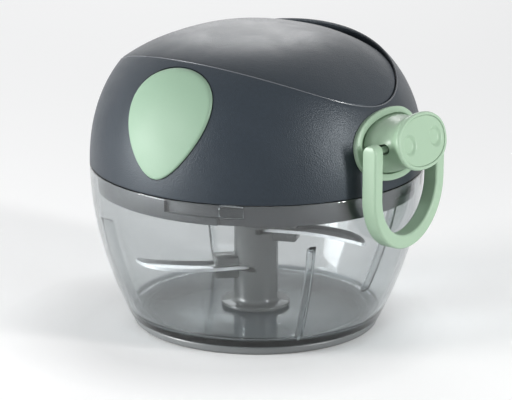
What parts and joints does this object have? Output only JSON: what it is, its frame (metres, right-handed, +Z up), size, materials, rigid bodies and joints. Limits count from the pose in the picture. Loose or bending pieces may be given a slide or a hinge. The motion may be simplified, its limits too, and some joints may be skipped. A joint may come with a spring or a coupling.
{
  "type": "mini food chopper",
  "caption": "Small pull-cord food chopper: clear tapered bowl, domed slate grey lid with mint grip pads, and a mint pull handle with a finger ring that winds back on a sprung reel",
  "frame": {"origin": "on the floor under the middle of the whole chopper, its pull handle included", "axes": "+X the way the pull handle points, +Z up, +Y to the left as the handle points"},
  "size_m": [0.1334, 0.121, 0.1073],
  "materials": {
    "clear_plastic": "clear, polished",
    "slate_plastic": "fine grained matte",
    "inner_grey": "moulded, smooth",
    "hub_plastic": "moulded, satin",
    "green_plastic": "satin",
    "soft_green": "soft matte",
    "soft_grey": "soft matte",
    "seal_rubber": "soft matte",
    "steel": "plain",
    "blade_steel": "polished, ground edge",
    "brass": "plain",
    "cord": "braided"
  },
  "bodies": {
    "base": {"bowl": "clear_plastic", "non_slip_ring": "soft_grey", "pivot_pin": "steel"},
    "blade_carrier": {"hub_bush": "brass"},
    "blades": {"blade_shaft": "hub_plastic", "blade_lower": "blade_steel", "blade_middle": "blade_steel", "blade_upper": "blade_steel"},
    "seal": {"seal_ring": "seal_rubber"},
    "lid": {"lid_shell": "slate_plastic", "top_panel": "slate_plastic", "grip_pad_left": "soft_green", "grip_pad_right": "soft_green", "lid_base": "inner_grey", "lid_screw_1": "steel", "lid_screw_2": "steel", "lid_screw_3": "steel", "lid_screw_4": "steel", "handle_seat": "green_plastic", "cord_eyelet": "steel", "reel_axle": "steel", "pull_cord": "cord"},
    "reel": {"reel": "inner_grey", "cord_winding": "cord", "spring_cover": "inner_grey", "spiral_spring": "steel", "ratchet_ring": "inner_grey"},
    "drive": {"drive_spindle": "inner_grey", "pawl_1": "steel", "pawl_2": "steel", "retaining_clip": "steel"},
    "handle": {"handle_nose": "green_plastic", "nose_cap": "green_plastic", "cord_knot": "cord"},
    "ring": {"handle_ring": "green_plastic"}
  },
  "joints": [
    {"name": "lid_lift", "type": "slide", "parent": "base", "child": "seal", "axis": [0, 0, 1], "range_m": [0, 0.14]},
    {"name": "lid_turn", "type": "hinge", "parent": "seal", "child": "lid", "pos_m": [-0.00668, 0, 0.0585], "axis": [0, 0, 1], "range_deg": [0, 20]},
    {"name": "blade_lift", "type": "slide", "parent": "base", "child": "blade_carrier", "axis": [0, 0, 1], "range_m": [0, 0.07]},
    {"name": "blade_spin", "type": "hinge", "parent": "blade_carrier", "child": "blades", "pos_m": [-0.00668, 0, 0.0115], "axis": [0, 0, 1], "continuous": true},
    {"name": "reel_spin", "type": "hinge", "parent": "lid", "child": "reel", "pos_m": [-0.00668, 0, 0.077], "axis": [0, 0, 1], "continuous": true},
    {"name": "drive_spin", "type": "hinge", "parent": "lid", "child": "drive", "pos_m": [-0.00668, 0, 0.0674], "axis": [0, 0, 1], "continuous": true},
    {"name": "handle_pull", "type": "slide", "parent": "lid", "child": "handle", "axis": [0.9744, 0, 0.225], "range_m": [0, 0.36], "stiffness_N_per_m": 15, "springref_m": -0.1},
    {"name": "ring_swing", "type": "hinge", "parent": "handle", "child": "ring", "pos_m": [0.05657, 0, 0.0762], "axis": [0, -1, 0], "range_deg": [0, 170]}
  ],
  "couplings": [
    {"joint": "blade_lift", "follows": "lid_lift", "ratio": 0.5},
    {"joint": "reel_spin", "follows": "handle_pull", "rad_per_m": 58.8},
    {"joint": "drive_spin", "follows": "handle_pull", "rad_per_m": 58.8},
    {"joint": "blade_spin", "follows": "handle_pull", "rad_per_m": 58.8}
  ]
}
